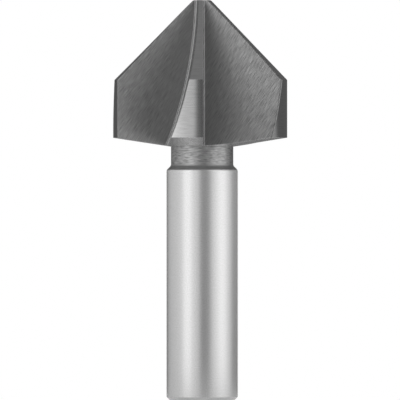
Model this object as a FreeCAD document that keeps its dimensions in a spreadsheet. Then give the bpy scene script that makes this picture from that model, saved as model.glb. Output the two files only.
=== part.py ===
import FreeCAD, Part
import os
import Sketcher

# Countersink for a drill chuck: one solid piece of hardened steel, with a plain round shank, a short
# neck and a wide conical head that carries five teeth.
#
# Frame: millimetres. The origin is the centre of the shank's end face, and +Z runs up the axis to
# the tip. One tooth has its cutting edge on the -Y side, and the teeth cut when the tool turns
# clockwise as seen from the shank end.
#
# The tool is made in the order of the real one: the blank is turned with a pointed cone, the flutes
# are ground, the heels of the teeth are rounded, and the point is ground away to a small flat. Each
# flute is the print of a large wheel whose rim is a V. The wheel's flat side leaves the straight
# face that cuts, and its sloping side leaves the back of the next tooth, so a tooth is a rib that
# grows thicker from the tip to the rim.

NODE = "countersink"

# Driving dimensions in millimetres and degrees: alias, value and what it is.
DRIVING_SIZES = [
    ("shank_diameter", 10.0, "shank that the chuck grips"),
    ("shank_length", 33.0, "shank end to the start of the neck, shoulder included"),
    ("shank_end_chamfer", 0.5, "45 degree chamfer round the shank's end"),
    ("shoulder_round", 0.45, "radius at both edges of the shoulder"),
    ("neck_diameter", 8.75, "turned relief between shank and head"),
    ("neck_length", 2.65, "straight length of the neck"),
    ("back_angle", 8.7, "slope of the head's back face, from the neck out to the rim"),
    ("head_diameter", 25.0, "largest diameter of the head"),
    ("rim_height", 8.1, "height of the head's cylindrical rim"),
    ("cone_angle", 90.0, "included angle of the cone that the teeth cut"),
    ("tip_diameter", 2.5, "flat at the tip"),
    ("tip_break", 0.12, "width of the small bevel round the flat at the tip"),
    ("tooth_count", 5, "teeth, evenly spaced"),
    ("flute_wheel_diameter", 113.0, "wheel that grinds the flutes, centred level with the cone's point"),
    ("flute_angle", 73.3, "angle of the wheel's V, from the cutting face to the tooth's back"),
    ("flute_core_radius", 0.8, "axis to the point of the wheel's V, level with the cone's point"),
    ("root_strip_width", 0.28, "width of the narrow strip along the flute's root, ahead of the cutting face"),
    ("root_strip_depth", 0.24, "how much deeper the strip lies at the tooth's back than at the cutting face"),
    ("cutting_face_lead", 0.12, "how far the cutting face stands ahead of the axis"),
    ("heel_round", 0.18, "radius along the back edge of each tooth"),
]

# Levels along the axis, as expressions on the sheet.
SHOULDER_START = "(Sizes.shank_length - (Sizes.shank_diameter - Sizes.neck_diameter) / 2)"
NECK_TOP = "(Sizes.shank_length + Sizes.neck_length)"
BACK_RISE = "((Sizes.head_diameter - Sizes.neck_diameter) / 2 * tan(Sizes.back_angle))"
RIM_BOTTOM = f"({NECK_TOP} + {BACK_RISE})"
RIM_TOP = f"({RIM_BOTTOM} + Sizes.rim_height)"
POINT = f"({RIM_TOP} + Sizes.head_diameter / 2 / tan(Sizes.cone_angle / 2))"
TIP = f"({POINT} - Sizes.tip_diameter / 2 / tan(Sizes.cone_angle / 2))"

# The V of the flute wheel, in a sketch at the level of the point: across is measured ahead of the
# axis, and along is negative towards the front tooth. The V's sharp corner is cut off by a strip.
ROOT_FAR_SIDE = "(Sizes.cutting_face_lead + Sizes.root_strip_width)"
ROOT_FAR = "(-Sizes.flute_core_radius - Sizes.root_strip_width / tan(Sizes.flute_angle))"
ROOT_NEAR = f"({ROOT_FAR} - Sizes.root_strip_depth)"
FLUTE_MOUTH = "(-Sizes.flute_core_radius - Sizes.head_diameter / 2)"
FLUTE_FAR_SIDE = "(Sizes.cutting_face_lead + Sizes.head_diameter / 2)"
FLUTE_FAR_BOTTOM = "(-Sizes.flute_core_radius - Sizes.head_diameter / 2 / tan(Sizes.flute_angle))"
WHEEL_CENTRE = "(-Sizes.flute_core_radius - Sizes.flute_wheel_diameter / 2)"

NEAR = 1e-4


def make_sheet(doc):
    """The sheet of driving dimensions, with the name, the value and a note in each row."""
    sheet = doc.addObject("Spreadsheet::Sheet", "Sizes")
    for row, (alias, value, note) in enumerate(DRIVING_SIZES, start=1):
        sheet.set(f"A{row}", alias)
        sheet.set(f"B{row}", str(value))
        sheet.set(f"C{row}", note)
        sheet.setAlias(f"B{row}", alias)
    doc.recompute()
    return sheet


def origin_item(body, role):
    """One of the body's own origin planes or axes."""
    return next(item for item in body.Origin.OriginFeatures if item.Role == role)


def new_sketch(body, name, plane):
    """A sketch on one of the body's origin planes."""
    sketch = body.newObject("Sketcher::SketchObject", name)
    sketch.AttachmentSupport = [(origin_item(body, plane), "")]
    sketch.MapMode = "FlatFace"
    return sketch


def hold_point(sketch, line, end, name, across, along):
    """Hold one end of a line at the place that two expressions give."""
    origin = -1
    here = sketch.getPoint(line, end)
    for kind, value, expression in (("DistanceX", here.x, across), ("DistanceY", here.y, along)):
        index = sketch.addConstraint(Sketcher.Constraint(kind, origin, 1, line, end, value))
        label = f"{name}_{kind[-1].lower()}"
        sketch.renameConstraint(index, label)
        sketch.setExpression(f"Constraints.{label}", expression)


def straight_outline(sketch, corners):
    """A closed outline of straight lines through corners given as name, across and along."""
    places = []
    for _, across, along in corners:
        x = sketch.evalExpression(across)
        y = sketch.evalExpression(along)
        places.append(FreeCAD.Vector(x, y, 0))
    lines = []
    for start, end in zip(places, places[1:] + places[:1]):
        lines.append(sketch.addGeometry(Part.LineSegment(start, end), False))
    for line, following in zip(lines, lines[1:] + lines[:1]):
        sketch.addConstraint(Sketcher.Constraint("Coincident", line, 2, following, 1))
    for line, (name, across, along) in zip(lines, corners):
        hold_point(sketch, line, 1, name, across, along)
    return lines


def round_corner(sketch, line, name, size):
    """Round the corner where a line starts, with a radius bound to one named size."""
    arc = sketch.GeometryCount
    radius = sketch.evalExpression(f"Sizes.{size}")
    sketch.fillet(line, 1, radius, True, True)
    index = sketch.addConstraint(Sketcher.Constraint("Radius", arc, radius))
    sketch.renameConstraint(index, name)
    sketch.setExpression(f"Constraints.{name}", f"Sizes.{size}")


def turn(body, kind, name, sketch, axis):
    """A revolution or a groove of a sketch, all the way round one of its axes."""
    feature = body.newObject(f"PartDesign::{kind}", name)
    feature.Profile = sketch
    feature.ReferenceAxis = (sketch, [axis])
    feature.Angle = 360
    body.Document.recompute()
    return feature


def dress(body, kind, name, base, edges, size):
    """A fillet or chamfer of one named size, on edges of the feature before it."""
    if not edges:
        raise RuntimeError(f"{name} finds no edges")
    feature = body.newObject(f"PartDesign::{kind}", name)
    feature.Base = (base, edges)
    feature.setExpression("Radius" if kind == "Fillet" else "Size", f"Sizes.{size}")
    body.Document.recompute()
    return feature


def check_cut(name, before, after):
    """Stop if a feature that should take material away took none."""
    if not after.Shape.Volume < before.Shape.Volume - NEAR:
        raise RuntimeError(f"{name} removes nothing")


def turn_blank(body):
    """The tool as it leaves the lathe: shank, shoulder, neck, back face, rim and a pointed cone."""
    half_shank = "(Sizes.shank_diameter / 2)"
    half_neck = "(Sizes.neck_diameter / 2)"
    half_head = "(Sizes.head_diameter / 2)"
    sketch = new_sketch(body, "BlankProfile", "XZ_Plane")
    lines = straight_outline(sketch, [
        ("end_centre", "0", "0"),
        ("end_edge", half_shank, "0"),
        ("shoulder_start", half_shank, SHOULDER_START),
        ("neck_bottom", half_neck, "Sizes.shank_length"),
        ("neck_top", half_neck, NECK_TOP),
        ("rim_bottom", half_head, RIM_BOTTOM),
        ("rim_top", half_head, RIM_TOP),
        ("point", "0", POINT),
    ])
    shoulder = lines[2]
    neck = lines[3]
    round_corner(sketch, shoulder, "shoulder_edge", "shoulder_round")
    round_corner(sketch, neck, "neck_root", "shoulder_round")
    return turn(body, "Revolution", "Blank", sketch, "V_Axis")


def end_edges(shape):
    """Names of the edges round the lowest face, the shank's end."""
    names = []
    for number, edge in enumerate(shape.Edges, start=1):
        is_circle = isinstance(edge.Curve, Part.Circle)
        if is_circle and abs(edge.BoundBox.ZMin) < NEAR and abs(edge.BoundBox.ZMax) < NEAR:
            names.append(f"Edge{number}")
    return names


def grind_flutes(body, blank):
    """One flute, made by turning the wheel's V about the wheel's axis, and its copies."""
    sketch = new_sketch(body, "WheelProfile", "XY_Plane")
    sketch.setExpression("AttachmentOffset.Base.z", POINT)
    straight_outline(sketch, [
        ("root_near", "Sizes.cutting_face_lead", ROOT_NEAR),
        ("mouth", "Sizes.cutting_face_lead", FLUTE_MOUTH),
        ("far_mouth", FLUTE_FAR_SIDE, FLUTE_MOUTH),
        ("far_bottom", FLUTE_FAR_SIDE, FLUTE_FAR_BOTTOM),
        ("root_far", ROOT_FAR_SIDE, ROOT_FAR),
    ])
    centre = sketch.evalExpression(WHEEL_CENTRE)
    width = sketch.evalExpression(FLUTE_FAR_SIDE)
    start = FreeCAD.Vector(0, centre, 0)
    end = FreeCAD.Vector(width, centre, 0)
    wheel_axis = sketch.addGeometry(Part.LineSegment(start, end), True)
    hold_point(sketch, wheel_axis, 1, "wheel_near", "0", WHEEL_CENTRE)
    hold_point(sketch, wheel_axis, 2, "wheel_far", FLUTE_FAR_SIDE, WHEEL_CENTRE)
    flute = turn(body, "Groove", "Flute", sketch, "Axis0")
    check_cut("Flute", blank, flute)

    flutes = body.newObject("PartDesign::PolarPattern", "Flutes")
    flutes.Originals = [flute]
    flutes.Axis = (origin_item(body, "Z_Axis"), [""])
    flutes.Angle = 360
    flutes.setExpression("Occurrences", "Sizes.tooth_count")
    body.Tip = flutes
    body.Document.recompute()
    check_cut("Flutes", flute, flutes)
    return flutes


def is_level(direction):
    """Whether a direction is square to the tool's axis."""
    return abs(direction.z) < NEAR


def touches(edge, faces):
    """Whether an edge belongs to one of some faces."""
    return any(edge.isSame(other) for face in faces for other in face.Edges)


def heel_edges(shape):
    """Names of the edges between a tooth's back and the turned rim and cone."""
    ground = []
    turned = []
    for face in shape.Faces:
        surface = face.Surface
        if isinstance(surface, (Part.Cone, Part.Cylinder)):
            (ground if is_level(surface.Axis) else turned).append(face)
    cylinders = [face for face in turned if isinstance(face.Surface, Part.Cylinder)]
    rim_radius = max(face.Surface.Radius for face in cylinders)
    rims = [face for face in cylinders if abs(face.Surface.Radius - rim_radius) < NEAR]
    rim_low = min(face.BoundBox.ZMin for face in rims)
    lands = [face for face in turned if face.BoundBox.ZMin > rim_low - NEAR]
    backs = [face for face in ground if any(touches(edge, rims) for edge in face.Edges)]
    names = []
    for number, edge in enumerate(shape.Edges, start=1):
        if touches(edge, backs) and touches(edge, lands):
            names.append(f"Edge{number}")
    return names


def grind_tip(body, heels):
    """The pointed cone ground down to a small flat with a bevelled edge."""
    half_tip = "Sizes.tip_diameter / 2"
    half_cone = "(Sizes.cone_angle / 2)"
    flat_edge = f"({half_tip} - Sizes.tip_break)"
    bevel_foot = f"({half_tip} + Sizes.tip_break * sin({half_cone}))"
    bevel_level = f"({TIP} - Sizes.tip_break * cos({half_cone}))"
    clear = f"({POINT} + Sizes.tip_diameter)"
    sketch = new_sketch(body, "TipProfile", "XZ_Plane")
    straight_outline(sketch, [
        ("flat_centre", "0", TIP),
        ("flat_edge", flat_edge, TIP),
        ("bevel_foot", bevel_foot, bevel_level),
        ("clear_edge", bevel_foot, clear),
        ("clear_centre", "0", clear),
    ])
    tip = turn(body, "Groove", "Tip", sketch, "V_Axis")
    check_cut("Tip", heels, tip)
    return tip


def make_countersink(doc):
    """The whole tool as one body."""
    body = doc.addObject("PartDesign::Body", "Countersink")
    body.Label = NODE
    blank = turn_blank(body)
    end = dress(body, "Chamfer", "ShankEnd", blank, end_edges(blank.Shape), "shank_end_chamfer")
    flutes = grind_flutes(body, end)
    heels = dress(body, "Fillet", "Heels", flutes, heel_edges(flutes.Shape), "heel_round")
    check_cut("Heels", flutes, heels)
    body.Tip = grind_tip(body, heels)
    doc.recompute()
    return body


def check_document(doc, bodies):
    """Stop if any feature failed or any body isn't one sound solid."""
    for item in doc.Objects:
        if "Invalid" in item.State or "Error" in item.State:
            raise RuntimeError(f"{item.Name} failed: {item.State}")
    for body in bodies:
        shape = body.Shape
        if shape.isNull() or not shape.isValid() or len(shape.Solids) != 1:
            raise RuntimeError(f"{body.Label} isn't one sound solid")


def main():
    doc = FreeCAD.newDocument("Countersink")
    make_sheet(doc)
    bodies = [make_countersink(doc)]
    check_document(doc, bodies)
    os.makedirs("parts", exist_ok=True)
    for body in bodies:
        body.Shape.exportStep(f"parts/{body.Label}.step")
        box = body.Shape.BoundBox
        print(f"{body.Label}: {body.Shape.Volume:.1f} mm3, {len(body.Shape.Faces)} faces, "
              f"{box.XLength:.2f} x {box.YLength:.2f} x {box.ZLength:.2f} mm")


main()
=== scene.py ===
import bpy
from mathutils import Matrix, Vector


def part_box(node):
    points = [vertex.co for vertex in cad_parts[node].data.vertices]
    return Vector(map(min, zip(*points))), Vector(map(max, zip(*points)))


bl_info = {
    "name": "Ground Countersink",
    "version": (1, 0, 0),
    "blender": (4, 5, 0),
    "location": "3D View > Sidebar > Countersink",
    "description": "Gives a countersink its ground and turned steel and stands it in a plain studio",
    "category": "Object",
}

import bpy
import math
from mathutils import Vector
from bpy.props import FloatProperty, FloatVectorProperty, IntProperty, PointerProperty

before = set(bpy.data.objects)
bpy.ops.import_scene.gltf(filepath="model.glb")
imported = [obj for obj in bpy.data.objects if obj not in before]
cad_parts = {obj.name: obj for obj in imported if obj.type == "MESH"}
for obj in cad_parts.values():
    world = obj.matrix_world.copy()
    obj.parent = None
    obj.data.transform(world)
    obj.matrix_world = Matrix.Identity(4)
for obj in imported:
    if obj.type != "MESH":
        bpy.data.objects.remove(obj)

# The tool stands on its shank end at the origin, with its axis along +Z and one cutting edge on
# the -Y side, where the camera is. Lengths are in metres.
MM = 0.001
NODE = "countersink"
LOW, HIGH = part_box(NODE)

# The photograph's frame in pixels, and where the tool stands in it.
IMAGE_SIZE = 400
AXIS_COLUMN = 202.15
SHANK_END_ROW = 400.45
PIXELS_ACROSS_HEAD = 177.95

# How bright the light tent is round the tool: the azimuth in degrees, counted from the camera's
# side towards +X, and the level, where 1 is white. The camera's own side is dark, with a broad
# soft light to each side of it, and so is the back.
TENT = {
    "behind": (-180, 0.15),
    "left_rear": (-148, 0.11),
    "left_back": (-133, 0.44),
    "left_side": (-112, 0.58),
    "left_wing": (-80, 0.84),
    "left_light": (-48, 1.24),
    "left_glow": (-33, 1.19),
    "left_of_lens": (-20, 0.9),
    "left_lens_edge": (-11.5, 0.85),
    "lens_left": (-4, 0.13),
    "lens_right": (20, 0.13),
    "right_of_lens": (31, 0.8),
    "right_light": (50, 1.3),
    "right_wing": (92, 0.97),
    "right_side": (106, 0.55),
    "right_back": (116, 0.15),
    "right_behind": (180, 0.15),
}
# The azimuths of the soft lamps, in degrees and counted in the same way.
LEFT_LAMP = -50
RIGHT_LAMP = 70
REAR_LAMP = 112
SIDE_LAMP = -120
# The number of sides that make the tent and the table round.
TENT_SIDES = 128
TABLE_SIDES = 96

# How wide the soft step between two finishes is.
SOFT = 0.02 * MM
# The part of a narrow band over which it fades out at each side.
BAND_FADE = 0.2

# The wheel's marks fan out in straight lines: on a cutting face they run up to a point above the
# tip, and on a tooth's back they come from a point far below, on the flute's other side. Each
# point is given by its distance from the axis and its height above the shank's end.
FACE_FAN = (-25 * MM, 90 * MM)
BACK_FAN = (-84 * MM, -98 * MM)
# Where the marks have their given spacing: the share of the rim's radius, and of its height.
MARKS_OUT = 0.6
MARKS_UP = 0.95
# How many times longer than wide a mark is.
MARK_STRETCH = 15
# How strong the marks are at the axis and at the rim, and on a cutting face beside a tooth's back.
MARKS_AT_AXIS = 0.5
MARKS_AT_RIM = 1.45
FACE_MARKS = 0.95
# How many marks fit into a radian round the neck, and round the lands.
NECK_MARKS_AROUND = 4.5
LAND_MARKS_AROUND = 6

# Each kind of mark reads its own layer of the noise, and so does each flute.
GRAIN_LAYER = 3.0
TURNING_LAYER = 7.0
LAND_LAYER = 11.0
BACK_LAYER = 5
LAYERS_APART = 10

# Where the bands of painted shade on the root strip and on the heel lie: the first is counted from the
# cutting face, and the second from the turned surface outwards.
ROOT_SHADE_BAND = 0.05 * MM
ROOT_SHADE_BAND_REACH = 0.09 * MM
HEEL_SHADE_BAND = -0.05 * MM
HEEL_SHADE_BAND_REACH = 0.08 * MM

WHITE = (1.0, 1.0, 1.0, 1.0)
# The table is a mix of a matt grey and a glow, where 1 is white. These are the shares of the glow
# to the camera and in the steel's reflections.
TABLE_GREY = 0.8
TABLE_GLOW = 1.1
TABLE_SHOWN = 0.85
TABLE_MIRRORED = 0.33
TABLE_THICKNESS = 5 * MM
# How bright the surroundings are, where it is neither to the camera nor in a reflection.
SURROUNDINGS_LEVEL = 0.5
# The width of the camera's sensor, in millimetres, and how far the camera sees, in metres.
SENSOR = 36.0
SIGHT = 10


class ToolSizes(bpy.types.PropertyGroup):
    """Sizes of the tool that its finishes follow."""
    shank_radius: FloatProperty(
        name="Shank Radius", description="Radius of the round shank",
        default=5.0 * MM, unit="LENGTH")
    shoulder: FloatProperty(
        name="Shoulder", description="Height at which the shank narrows to the neck",
        default=32.4 * MM, unit="LENGTH")
    neck_bottom: FloatProperty(
        name="Neck Bottom", description="Height at which the straight neck starts",
        default=33.2 * MM, unit="LENGTH")
    neck_radius: FloatProperty(
        name="Neck Radius", description="Radius of the turned neck",
        default=4.375 * MM, unit="LENGTH")
    neck_top: FloatProperty(
        name="Neck Top", description="Height at which the head starts",
        default=35.65 * MM, unit="LENGTH")
    back_angle: FloatProperty(
        name="Back Angle", description="Slope of the head's underside",
        default=math.radians(8.7), subtype="ANGLE")
    rim_radius: FloatProperty(
        name="Rim Radius", description="Largest radius of the head",
        default=12.5 * MM, unit="LENGTH")
    rim_top: FloatProperty(
        name="Rim Top", description="Height at which the rim turns into the cone",
        default=44.99 * MM, unit="LENGTH")
    face_lead: FloatProperty(
        name="Face Lead", description="How far the cutting faces stand ahead of the axis",
        default=0.12 * MM, unit="LENGTH")
    root_width: FloatProperty(
        name="Root Width", description="Width of the narrow strip along the root of a flute",
        default=0.28 * MM, unit="LENGTH")
    heel_width: FloatProperty(
        name="Heel Width", description="Width of a tooth's land at the tip",
        default=0.53 * MM, unit="LENGTH")
    heel_arc: FloatProperty(
        name="Heel Arc", description="Radius of the arc along which the land grows wider",
        default=52 * MM, unit="LENGTH")
    tooth_count: IntProperty(
        name="Teeth", description="Number of teeth round the head", default=5, min=1)


class SteelLook(bpy.types.PropertyGroup):
    """Colour, gloss, tool marks, and painted light and shade of the steel."""
    shank_colour: FloatVectorProperty(
        name="Shank Colour", description="Colour of the bright shank",
        default=(0.665, 0.665, 0.665), size=3, min=0, max=1, subtype="COLOR")
    neck_colour: FloatVectorProperty(
        name="Neck Colour", description="Colour of the darker turned neck",
        default=(0.335, 0.335, 0.335), size=3, min=0, max=1, subtype="COLOR")
    land_colour: FloatVectorProperty(
        name="Land Colour", description="Colour of the lands behind the cutting edges",
        default=(0.48, 0.48, 0.48), size=3, min=0, max=1, subtype="COLOR")
    under_colour: FloatVectorProperty(
        name="Underside Colour", description="Colour of the head's turned underside",
        default=(0.62, 0.62, 0.62), size=3, min=0, max=1, subtype="COLOR")
    flute_colour: FloatVectorProperty(
        name="Flute Colour", description="Colour of the dark ground flutes",
        default=(0.293, 0.293, 0.293), size=3, min=0, max=1, subtype="COLOR")
    root_colour: FloatVectorProperty(
        name="Root Colour", description="Colour of the narrow strip along the root of a flute",
        default=(0.3, 0.3, 0.3), size=3, min=0, max=1, subtype="COLOR")
    # Painted shade: how much darker the root strip is painted along the cutting face.
    root_painted_band_shade: FloatProperty(
        name="Root Edge Shade", description="How much darker the strip is along the cutting face",
        default=0.5, min=0, max=1, subtype="FACTOR")
    # Painted shade: how much darker the rounding along a tooth's heel is painted.
    heel_painted_band_shade: FloatProperty(
        name="Heel Shade", description="How much darker the rounding along a tooth's heel is",
        default=0.18, min=0, max=1, subtype="FACTOR")
    shank_metal: FloatProperty(
        name="Shank Metal", description="Share of the shank's light that is mirrored, the rest is satin",
        default=0.64, min=0, max=1, subtype="FACTOR")
    shank_roughness: FloatProperty(
        name="Shank Roughness", description="Roughness of the fine ground shank",
        default=0.26, min=0, max=1, subtype="FACTOR")
    neck_roughness: FloatProperty(
        name="Neck Roughness", description="Roughness of the turned neck",
        default=0.46, min=0, max=1, subtype="FACTOR")
    land_roughness: FloatProperty(
        name="Land Roughness", description="Roughness of the narrow lands behind the cutting edges",
        default=0.13, min=0, max=1, subtype="FACTOR")
    flute_roughness: FloatProperty(
        name="Flute Roughness", description="Roughness of the flutes as the wheel leaves them",
        default=0.42, min=0, max=1, subtype="FACTOR")
    under_roughness: FloatProperty(
        name="Underside Roughness", description="Roughness of the head's turned underside",
        default=0.13, min=0, max=1, subtype="FACTOR")
    under_metal: FloatProperty(
        name="Underside Metal", description="Share of the underside's light that is mirrored",
        default=0.65, min=0, max=1, subtype="FACTOR")
    flute_mark: FloatProperty(
        name="Flute Mark", description="Spacing of the wheel's marks in the flutes",
        default=0.1 * MM, unit="LENGTH")
    flute_mark_depth: FloatProperty(
        name="Flute Mark Depth", description="Depth of the wheel's marks in the flutes",
        default=0.035 * MM, unit="LENGTH")
    flute_mark_shade: FloatProperty(
        name="Flute Mark Shade", description="How far the wheel's marks lighten and darken the steel",
        default=1.35, min=0, max=3, subtype="FACTOR")
    grain: FloatProperty(
        name="Grain", description="Spacing of the shank's grinding lines",
        default=0.17 * MM, unit="LENGTH")
    grain_depth: FloatProperty(
        name="Grain Depth", description="Depth of the shank's grinding lines",
        default=0.0015 * MM, unit="LENGTH")
    grain_shade: FloatProperty(
        name="Grain Shade", description="How far the grinding lines lighten and darken the steel",
        default=0.5, min=0, max=2, subtype="FACTOR")
    land_shade: FloatProperty(
        name="Land Shade", description="How far the fine lines on the lands lighten and darken them",
        default=0.3, min=0, max=2, subtype="FACTOR")
    turning_mark: FloatProperty(
        name="Turning Mark", description="Spacing of the lathe's marks on the neck",
        default=0.17 * MM, unit="LENGTH")
    turning_depth: FloatProperty(
        name="Turning Depth", description="Depth of the lathe's marks on the neck",
        default=0.012 * MM, unit="LENGTH")
    turning_shade: FloatProperty(
        name="Turning Shade", description="How far the lathe's marks lighten and darken the steel",
        default=2.0, min=0, max=3, subtype="FACTOR")
    # Painted light: the cutting faces are painted lighter than the teeth's backs by this much.
    face_painted_light: FloatProperty(
        name="Face Shade", description="How much lighter the cutting faces are than the teeth's backs",
        default=0.19, min=0, max=1, subtype="FACTOR")


class StudioLook(bpy.types.PropertyGroup):
    """Camera lens, lamps, tent and table of the studio."""
    lens: FloatProperty(
        name="Lens", description="Focal length of the long lens, in millimetres",
        default=1200, min=1)
    reach: FloatProperty(
        name="Reach", description="Distance of the tent's wall and top from the tool",
        default=0.6, unit="LENGTH")
    lamp_distance: FloatProperty(
        name="Lamp Distance", description="Distance of the soft lamps from the tool",
        default=0.54, unit="LENGTH")
    lamp_height: FloatProperty(
        name="Lamp Height", description="Height of the soft lamps",
        default=0.6, unit="LENGTH")
    lamp_width: FloatProperty(
        name="Lamp Width", description="Width of the two lamps at the front",
        default=0.28, unit="LENGTH")
    rear_lamp_width: FloatProperty(
        name="Rear Lamp Width", description="Width of the two lamps at the back",
        default=0.2, unit="LENGTH")
    lamp_power: FloatProperty(
        name="Lamp Power", description="Power of each lamp at the front, in watts",
        default=0.2, min=0)
    rear_lamp_power: FloatProperty(
        name="Rear Lamp Power", description="Power of the lamp at the right of the back, in watts",
        default=1.4, min=0)
    side_lamp_power: FloatProperty(
        name="Side Lamp Power", description="Power of the lamp at the left of the back, in watts",
        default=0.9, min=0)
    top_level: FloatProperty(
        name="Top Level", description="Brightness of the tent's top, where 1 is white",
        default=0.31, min=0)
    floor_radius: FloatProperty(
        name="Floor Radius", description="Radius of the pale round table",
        default=0.045, unit="LENGTH")


class Value:
    """A number in a shader, so that shader maths reads as Python."""

    def __init__(self, shader, socket):
        self.shader = shader
        self.socket = socket

    def maths(self, operation, *others):
        inputs = [self, *others]
        node = self.shader.node("ShaderNodeMath", {"operation": operation}, dict(enumerate(inputs)))
        return Value(self.shader, node.outputs[0])

    def __add__(self, other):
        return self.maths("ADD", other)

    __radd__ = __add__

    def __mul__(self, other):
        return self.maths("MULTIPLY", other)

    __rmul__ = __mul__

    def __sub__(self, other):
        return self.maths("SUBTRACT", other)

    def __rsub__(self, other):
        return (self * -1) + other

    def __truediv__(self, other):
        return self.maths("DIVIDE", other)

    def __abs__(self):
        return self.maths("ABSOLUTE")

    def root(self):
        return self.maths("SQRT")

    def above(self, edge, blend):
        """0 below an edge and 1 above it, with a soft step that is blend wide."""
        step = (self - edge) / blend + 0.5
        return step.maths("MINIMUM", 1).maths("MAXIMUM", 0)

    def near(self, place, reach):
        """1 within reach of a place, and 0 further away."""
        return 1 - abs(self - place).above(reach, reach * BAND_FADE)


class Shader:
    """Adds nodes to one material or world."""

    def __init__(self, owner):
        owner.use_nodes = True
        self.tree = owner.node_tree
        self.tree.nodes.clear()

    def node(self, kind, settings=None, inputs=None):
        """A node with its settings made first, and then its sockets' values or links."""
        made = self.tree.nodes.new(kind)
        for name, value in (settings or {}).items():
            if name == "stops":
                self.set_stops(made.color_ramp, value)
            else:
                setattr(made, name, value)
        for name, value in (inputs or {}).items():
            if isinstance(value, Value):
                self.tree.links.new(value.socket, made.inputs[name])
            elif isinstance(value, bpy.types.NodeSocket):
                self.tree.links.new(value, made.inputs[name])
            else:
                made.inputs[name].default_value = value
        return made

    def set_stops(self, ramp, stops):
        """Set a ramp's stops from pairs of a place from 0 to 1 and a grey."""
        while len(ramp.elements) < len(stops):
            ramp.elements.new(0.5)
        for element, (place, grey) in zip(ramp.elements, stops):
            element.position = place
            element.color = (grey, grey, grey, 1.0)

    def position(self):
        """The three parts of the place on the object."""
        place = self.node("ShaderNodeTexCoord").outputs["Object"]
        parts = self.node("ShaderNodeSeparateXYZ", None, {0: place})
        return [Value(self, socket) for socket in parts.outputs]

    def blend(self, share, first, second):
        """The first colour where the share is 0, and the second where it is 1."""
        colours = [item if isinstance(item, bpy.types.NodeSocket) else (*item, 1.0)
                   for item in (first, second)]
        inputs = {0: share, 6: colours[0], 7: colours[1]}
        return self.node("ShaderNodeMix", {"data_type": "RGBA"}, inputs).outputs[2]

    def glow(self, colour, level):
        """Light of one colour, where a level of 1 is as bright as the colour is written."""
        inputs = {"Color": colour, "Strength": level}
        return self.node("ShaderNodeEmission", None, inputs).outputs[0]

    def rays(self):
        """Two values: 1 where the camera looks straight, and 1 where it is a reflection."""
        path = self.node("ShaderNodeLightPath")
        return [Value(self, path.outputs[name]) for name in ("Is Camera Ray", "Is Glossy Ray")]

    def shaded(self, colour, factor):
        """A colour made lighter or darker by a factor."""
        inputs = {0: colour, "Scale": factor}
        return self.node("ShaderNodeVectorMath", {"operation": "SCALE"}, inputs).outputs[0]

    def noise(self, x, y, layer, detail=2.0):
        """Noise from -0.5 to 0.5 over two numbers, in one of its layers."""
        place = self.node("ShaderNodeCombineXYZ", None, {0: x, 1: y, 2: layer}).outputs[0]
        inputs = {"Vector": place, "Scale": 1.0, "Detail": detail}
        made = self.node("ShaderNodeTexNoise", None, inputs)
        return Value(self, made.outputs[0]) - 0.5

    def fan(self, across, along, point, middle, spacing, layer):
        """Noise in short thin lines that fan out from a point, with their spacing at the middle."""
        side = across - point[0]
        rise = along - point[1]
        reach = (side * side + rise * rise).root()
        line = (side / rise).maths("ARCTANGENT") * (math.dist(point, middle) / spacing)
        return self.noise(line, reach / (MARK_STRETCH * spacing), layer)


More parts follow.
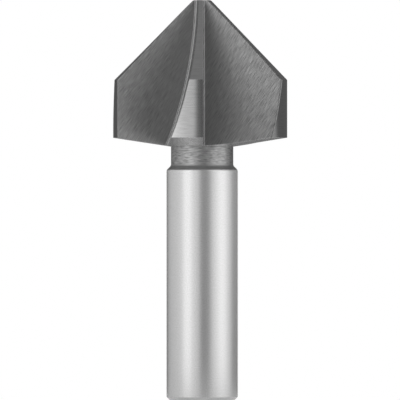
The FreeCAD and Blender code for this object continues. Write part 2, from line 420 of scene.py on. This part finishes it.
def steel_material(sizes, look):
    """Steel that is ground on the shank and in the flutes, and turned on the neck."""
    material = bpy.data.materials.new("ground_steel")
    shader = Shader(material)
    x, y, z = shader.position()
    radius = (x * x + y * y).root()

    # The azimuth counts from the camera's side, and is folded so that every tooth reads alike.
    azimuth = x.maths("ARCTAN2", y * -1)
    pitch = 2 * math.pi / sizes.tooth_count
    folded = azimuth - (azimuth / pitch).maths("ROUND") * pitch
    ahead = radius * folded.maths("SINE")
    out = radius * folded.maths("COSINE")

    # Where each finish is: 1 inside and 0 outside.
    head = z.above(sizes.neck_top + SOFT, SOFT)
    neck = z.above(sizes.shoulder, SOFT) * (1 - head)
    turned = z.above(sizes.neck_bottom, 4 * SOFT) * (1 - head)
    shank = 1 - z.above(sizes.shoulder, SOFT)
    cone_point = sizes.rim_top + sizes.rim_radius
    blank_radius = (cone_point - z).maths("MINIMUM", sizes.rim_radius)
    depth = radius - blank_radius
    drop = HIGH.z - z
    land_width = (sizes.heel_width + sizes.heel_arc
                  - (sizes.heel_arc * sizes.heel_arc - drop * drop).root())
    land = depth.above(-2 * SOFT, SOFT) * (ahead + land_width).above(0, 2 * SOFT) * head
    under_height = (radius - sizes.neck_radius) * math.tan(sizes.back_angle) + sizes.neck_top
    under = (z - under_height).near(0, SOFT) * head
    flute = head * (1 - land) * (1 - under)
    face = flute * ahead.near(sizes.face_lead, 2 * SOFT)
    back = flute - face

    # Painted shade: the strip along the root is painted darker towards the cutting face, which narrows
    # the bright reflection it shows, and the heel's rounding is painted darker too.
    flute_number = (azimuth / pitch).maths("FLOOR")
    across = radius * (azimuth - flute_number * pitch).maths("SINE")
    root = back * (1 - across.above(sizes.face_lead + sizes.root_width, SOFT))
    root_painted_band = back * across.near(sizes.face_lead + ROOT_SHADE_BAND, ROOT_SHADE_BAND_REACH)
    heel = back * depth.near(HEEL_SHADE_BAND, HEEL_SHADE_BAND_REACH)

    # The marks that the wheel, the grinding of the shank and the lathe leave.
    middle = (MARKS_OUT * sizes.rim_radius, MARKS_UP * sizes.rim_top)
    flute_layer = flute_number * LAYERS_APART
    back_layer = flute_layer + BACK_LAYER
    face_marks = shader.fan(out, z, FACE_FAN, middle, look.flute_mark, flute_layer)
    back_marks = shader.fan(across, z, BACK_FAN, middle, look.flute_mark, back_layer)
    strength = (radius / blank_radius) * (MARKS_AT_RIM - MARKS_AT_AXIS) + MARKS_AT_AXIS
    wheel_marks = (face * face_marks * FACE_MARKS + back * back_marks) * strength
    around = azimuth * sizes.shank_radius
    grain_marks = shank * shader.noise(around / look.grain, z / look.grain, GRAIN_LAYER)
    turning_marks = turned * shader.noise(
        z / look.turning_mark, azimuth * NECK_MARKS_AROUND, TURNING_LAYER, detail=3.0)
    land_marks = land * shader.noise(z / look.grain, azimuth * LAND_MARKS_AROUND, LAND_LAYER)

    # The bump's height is in thousandths of a millimetre.
    micron = 0.001 * MM
    height = (wheel_marks * (look.flute_mark_depth / micron)
              + (grain_marks + land_marks) * (look.grain_depth / micron)
              + turning_marks * (look.turning_depth / micron))
    bump = shader.node("ShaderNodeBump", None, {
        "Strength": 1.0,
        "Distance": micron,
        "Height": height,
    })

    roughness = (shank * look.shank_roughness + neck * look.neck_roughness
                 + land * look.land_roughness + flute * look.flute_roughness
                 + under * look.under_roughness)
    metal = 1 - shank * (1 - look.shank_metal) - under * (1 - look.under_metal)
    # The tool marks lighten and darken the colour; the cutting faces get painted light, and the root's
    # band and the heel's rounding get painted shade.
    shade = (wheel_marks * look.flute_mark_shade
             + turning_marks * look.turning_shade
             + grain_marks * look.grain_shade
             + land_marks * look.land_shade
             + face * look.face_painted_light
             - root_painted_band * look.root_painted_band_shade
             - heel * look.heel_painted_band_shade
             + 1)
    colour = shader.blend(shank, look.neck_colour, look.shank_colour)
    colour = shader.blend(land, colour, look.land_colour)
    colour = shader.blend(under, colour, look.under_colour)
    colour = shader.blend(flute, colour, look.flute_colour)
    colour = shader.blend(root, colour, look.root_colour)
    surface = shader.node("ShaderNodeBsdfPrincipled", None, {
        "Base Color": shader.shaded(colour, shade),
        "Metallic": metal,
        "Roughness": roughness,
        "Normal": bump.outputs[0],
    })
    shader.node("ShaderNodeOutputMaterial", None, {"Surface": surface.outputs[0]})
    return material


class COUNTERSINK_OT_finish_steel(bpy.types.Operator):
    """Give the tool its ground and turned steel"""
    bl_idname = "countersink.finish_steel"
    bl_label = "Finish Steel"

    def execute(self, context):
        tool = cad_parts[NODE]
        scene = context.scene
        material = steel_material(scene.countersink_sizes, scene.countersink_steel)
        if not tool.material_slots:
            raise RuntimeError("the tool has no material slot")
        for slot in tool.material_slots:
            slot.material = material
        return {"FINISHED"}


def direction(azimuth):
    """A level unit vector away from the tool, with azimuth from the camera's side towards +X."""
    return Vector((math.sin(azimuth), -math.cos(azimuth), 0))


def facing(place, target):
    """The turn that points an object's -Z side from a place at a target."""
    return (target - place).to_track_quat("-Z", "Y").to_euler()


def tent_material():
    """A glowing cloth whose brightness changes round the tool."""
    material = bpy.data.materials.new("tent_cloth")
    shader = Shader(material)
    x, y, _ = shader.position()
    turn = x.maths("ARCTAN2", y * -1) / (2 * math.pi) + 0.5
    brightest = max(level for _, level in TENT.values())
    stops = [(azimuth / 360 + 0.5, level / brightest) for azimuth, level in TENT.values()]
    ramp = shader.node("ShaderNodeValToRGB", {"stops": stops}, {0: turn})
    glow = shader.glow(ramp.outputs[0], brightest)
    shader.node("ShaderNodeOutputMaterial", None, {"Surface": glow})
    return material


def card_material(level):
    """An even grey card, where a level of 1 is white."""
    material = bpy.data.materials.new("grey_card")
    shader = Shader(material)
    shader.node("ShaderNodeOutputMaterial", None, {"Surface": shader.glow(WHITE, level)})
    return material


def table_material():
    """A pale table that the camera sees as white, with the tool's faint shadow on it."""
    material = bpy.data.materials.new("pale_table")
    shader = Shader(material)
    grey = (TABLE_GREY, TABLE_GREY, TABLE_GREY, 1.0)
    matt = shader.node("ShaderNodeBsdfDiffuse", None, {"Color": grey}).outputs[0]
    glow = shader.glow(WHITE, TABLE_GLOW)
    camera, mirror = shader.rays()
    seen = (camera * TABLE_SHOWN).maths("MAXIMUM", mirror * TABLE_MIRRORED)
    mixed = shader.node("ShaderNodeMixShader", None, {0: seen, 1: matt, 2: glow})
    shader.node("ShaderNodeOutputMaterial", None, {"Surface": mixed.outputs[0]})
    return material


def hide_from_camera(piece, material):
    """A piece of the studio that lights the tool and that the camera looks through."""
    bpy.ops.object.transform_apply(location=True, rotation=True, scale=True)
    piece.data.materials.append(material)
    piece.visible_camera = False
    piece.visible_shadow = False


def add_tent(radius, top_level):
    """A round wall of glowing cloth with a grey top."""
    bpy.ops.mesh.primitive_cylinder_add(
        vertices=TENT_SIDES, radius=radius, depth=2 * radius, end_fill_type="NOTHING",
        location=(0, 0, 0))
    wall = bpy.context.object
    wall.name = "tent_wall"
    hide_from_camera(wall, tent_material())
    bpy.ops.mesh.primitive_circle_add(
        vertices=TENT_SIDES, radius=radius, fill_type="NGON", location=(0, 0, radius))
    top = bpy.context.object
    top.name = "tent_top"
    hide_from_camera(top, card_material(top_level))


def add_lamp(name, azimuth, width, power, look, mirrored=True):
    """A soft upright lamp that faces the tool, and that may show in reflections or not."""
    target = Vector((0, 0, HIGH.z / 2))
    place = target + direction(azimuth) * look.lamp_distance
    bpy.ops.object.light_add(type="AREA", location=place, rotation=facing(place, target))
    lamp = bpy.context.object
    lamp.name = name
    lamp.data.shape = "RECTANGLE"
    lamp.data.size = width
    lamp.data.size_y = look.lamp_height
    lamp.data.energy = power
    lamp.visible_camera = False
    lamp.visible_glossy = mirrored


def add_table(radius):
    """A thin round table with its top at the shank's end."""
    middle = (0, 0, LOW.z - TABLE_THICKNESS / 2)
    bpy.ops.mesh.primitive_cylinder_add(
        vertices=TABLE_SIDES, radius=radius, depth=TABLE_THICKNESS, location=middle)
    table = bpy.context.object
    table.name = "table"
    bpy.ops.object.transform_apply(location=True, rotation=True, scale=True)
    table.data.materials.append(table_material())


def white_surroundings(scene):
    """Surroundings that are white to the camera and in reflections."""
    world = bpy.data.worlds.new("white_surroundings")
    scene.world = world
    shader = Shader(world)
    camera, mirror = shader.rays()
    strength = camera.maths("MAXIMUM", mirror).maths("MAXIMUM", SURROUNDINGS_LEVEL)
    white = shader.node("ShaderNodeBackground", None, {"Color": WHITE, "Strength": strength})
    shader.node("ShaderNodeOutputWorld", None, {"Surface": white.outputs[0]})


def add_camera(scene, lens):
    """A level camera on the -Y side, far off behind a long lens."""
    pixel = 2 * scene.countersink_sizes.rim_radius / PIXELS_ACROSS_HEAD
    across = (IMAGE_SIZE / 2 - AXIS_COLUMN) * pixel
    level = (SHANK_END_ROW - IMAGE_SIZE / 2) * pixel
    distance = IMAGE_SIZE * pixel * lens / SENSOR
    place = (across, -distance, level)
    bpy.ops.object.camera_add(location=place, rotation=(math.pi / 2, 0, 0))
    camera = bpy.context.object
    camera.name = "camera"
    camera.data.sensor_width = SENSOR
    camera.data.lens = lens
    camera.data.clip_end = SIGHT
    scene.camera = camera


class COUNTERSINK_OT_set_studio(bpy.types.Operator):
    """Set the table, the tent, the lamps, the surroundings and the camera"""
    bl_idname = "countersink.set_studio"
    bl_label = "Set Studio"

    def execute(self, context):
        scene = context.scene
        look = scene.countersink_studio
        turn = math.radians
        front = look.lamp_width
        rear = look.rear_lamp_width
        add_table(look.floor_radius)
        add_tent(look.reach, look.top_level)
        add_lamp("left_lamp", turn(LEFT_LAMP), front, look.lamp_power, look)
        add_lamp("right_lamp", turn(RIGHT_LAMP), front, look.lamp_power, look)
        # These two don't show in reflections, so they light only the satin share of the steel.
        add_lamp("rear_lamp", turn(REAR_LAMP), rear, look.rear_lamp_power, look, mirrored=False)
        add_lamp("side_lamp", turn(SIDE_LAMP), rear, look.side_lamp_power, look, mirrored=False)
        white_surroundings(scene)
        add_camera(scene, look.lens)
        scene.view_settings.view_transform = "Standard"
        return {"FINISHED"}


class COUNTERSINK_PT_panel(bpy.types.Panel):
    """Lists the steps that finish the tool and set its studio"""
    bl_idname = "COUNTERSINK_PT_panel"
    bl_label = "Countersink"
    bl_space_type = "VIEW_3D"
    bl_region_type = "UI"
    bl_category = "Countersink"

    def draw(self, context):
        for operator in STEPS:
            self.layout.operator(operator.bl_idname)


STEPS = (COUNTERSINK_OT_finish_steel, COUNTERSINK_OT_set_studio)
CLASSES = (ToolSizes, SteelLook, StudioLook, *STEPS, COUNTERSINK_PT_panel)


def register():
    for item in CLASSES:
        bpy.utils.register_class(item)
    bpy.types.Scene.countersink_sizes = PointerProperty(type=ToolSizes)
    bpy.types.Scene.countersink_steel = PointerProperty(type=SteelLook)
    bpy.types.Scene.countersink_studio = PointerProperty(type=StudioLook)


def unregister():
    del bpy.types.Scene.countersink_studio
    del bpy.types.Scene.countersink_steel
    del bpy.types.Scene.countersink_sizes
    for item in reversed(CLASSES):
        bpy.utils.unregister_class(item)


def main():
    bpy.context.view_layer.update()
    register()
    bpy.ops.countersink.finish_steel()
    bpy.ops.countersink.set_studio()


if __name__ == "__main__":
    main()
